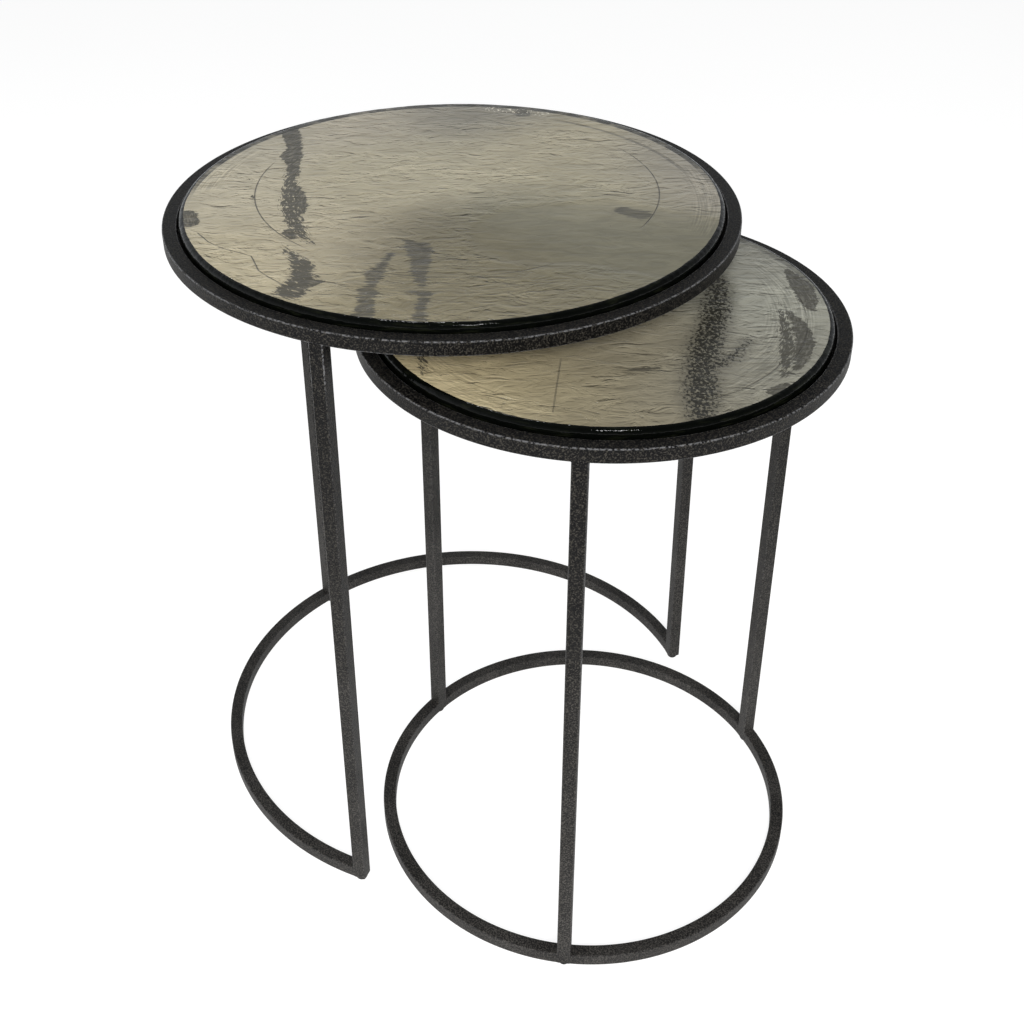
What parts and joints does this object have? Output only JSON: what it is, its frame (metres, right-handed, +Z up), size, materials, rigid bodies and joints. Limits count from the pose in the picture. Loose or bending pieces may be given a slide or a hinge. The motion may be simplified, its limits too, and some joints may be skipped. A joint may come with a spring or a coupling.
{
  "type": "nesting tables",
  "caption": "Round nesting side tables with loose, wavy mirror-backed glass tops in slim square-bar frames; the lower table slides in under the taller one through its open base.",
  "frame": {"origin": "on the floor, under the middle of the pair's overall box, with the lower table part way out", "axes": "+Z up; +X the way the lower table pulls out from under the taller one; +Y to the left when looking along +X"},
  "size_m": [0.6524, 0.5238, 0.6225],
  "materials": {
    "powder_coat": "anthracite fine-textured powder coat, low sheen",
    "mirror_glass": "wavy cast glass over an aged champagne mirror backing, dark green edge",
    "black_rubber": "matt black",
    "silicone": "clear soft discs"
  },
  "bodies": {
    "large_frame": {"large_top_ring": "powder_coat", "large_glass_ledge": "powder_coat", "large_glass_pad_1": "silicone", "large_glass_pad_2": "silicone", "large_glass_pad_3": "silicone", "large_glass_pad_4": "silicone", "large_leg_left": "powder_coat", "large_leg_back": "powder_coat", "large_leg_right": "powder_coat", "large_glide_left": "black_rubber", "large_glide_back": "black_rubber", "large_glide_right": "black_rubber", "large_base_arc_left": "powder_coat", "large_base_arc_right": "powder_coat"},
    "large_glass": {"large_glass_top": "mirror_glass"},
    "small_frame": {"small_top_ring": "powder_coat", "small_glass_ledge": "powder_coat", "small_glass_pad_1": "silicone", "small_glass_pad_2": "silicone", "small_glass_pad_3": "silicone", "small_glass_pad_4": "silicone", "small_leg_left": "powder_coat", "small_leg_back": "powder_coat", "small_leg_right": "powder_coat", "small_glide_left": "black_rubber", "small_glide_back": "black_rubber", "small_glide_right": "black_rubber", "small_base_arc_left": "powder_coat", "small_base_arc_right": "powder_coat", "small_base_arc_front": "powder_coat"},
    "small_glass": {"small_glass_top": "mirror_glass"}
  },
  "joints": [
    {"name": "small_table_slide", "type": "slide", "parent": "large_frame", "child": "small_frame", "axis": [1, 0, 0], "range_m": [-0.183, 0.3]},
    {"name": "large_glass_lift", "type": "slide", "parent": "large_frame", "child": "large_glass", "axis": [0, 0, 1], "range_m": [0, 0.06]},
    {"name": "small_glass_lift", "type": "slide", "parent": "small_frame", "child": "small_glass", "axis": [0, 0, 1], "range_m": [0, 0.0175]}
  ]
}
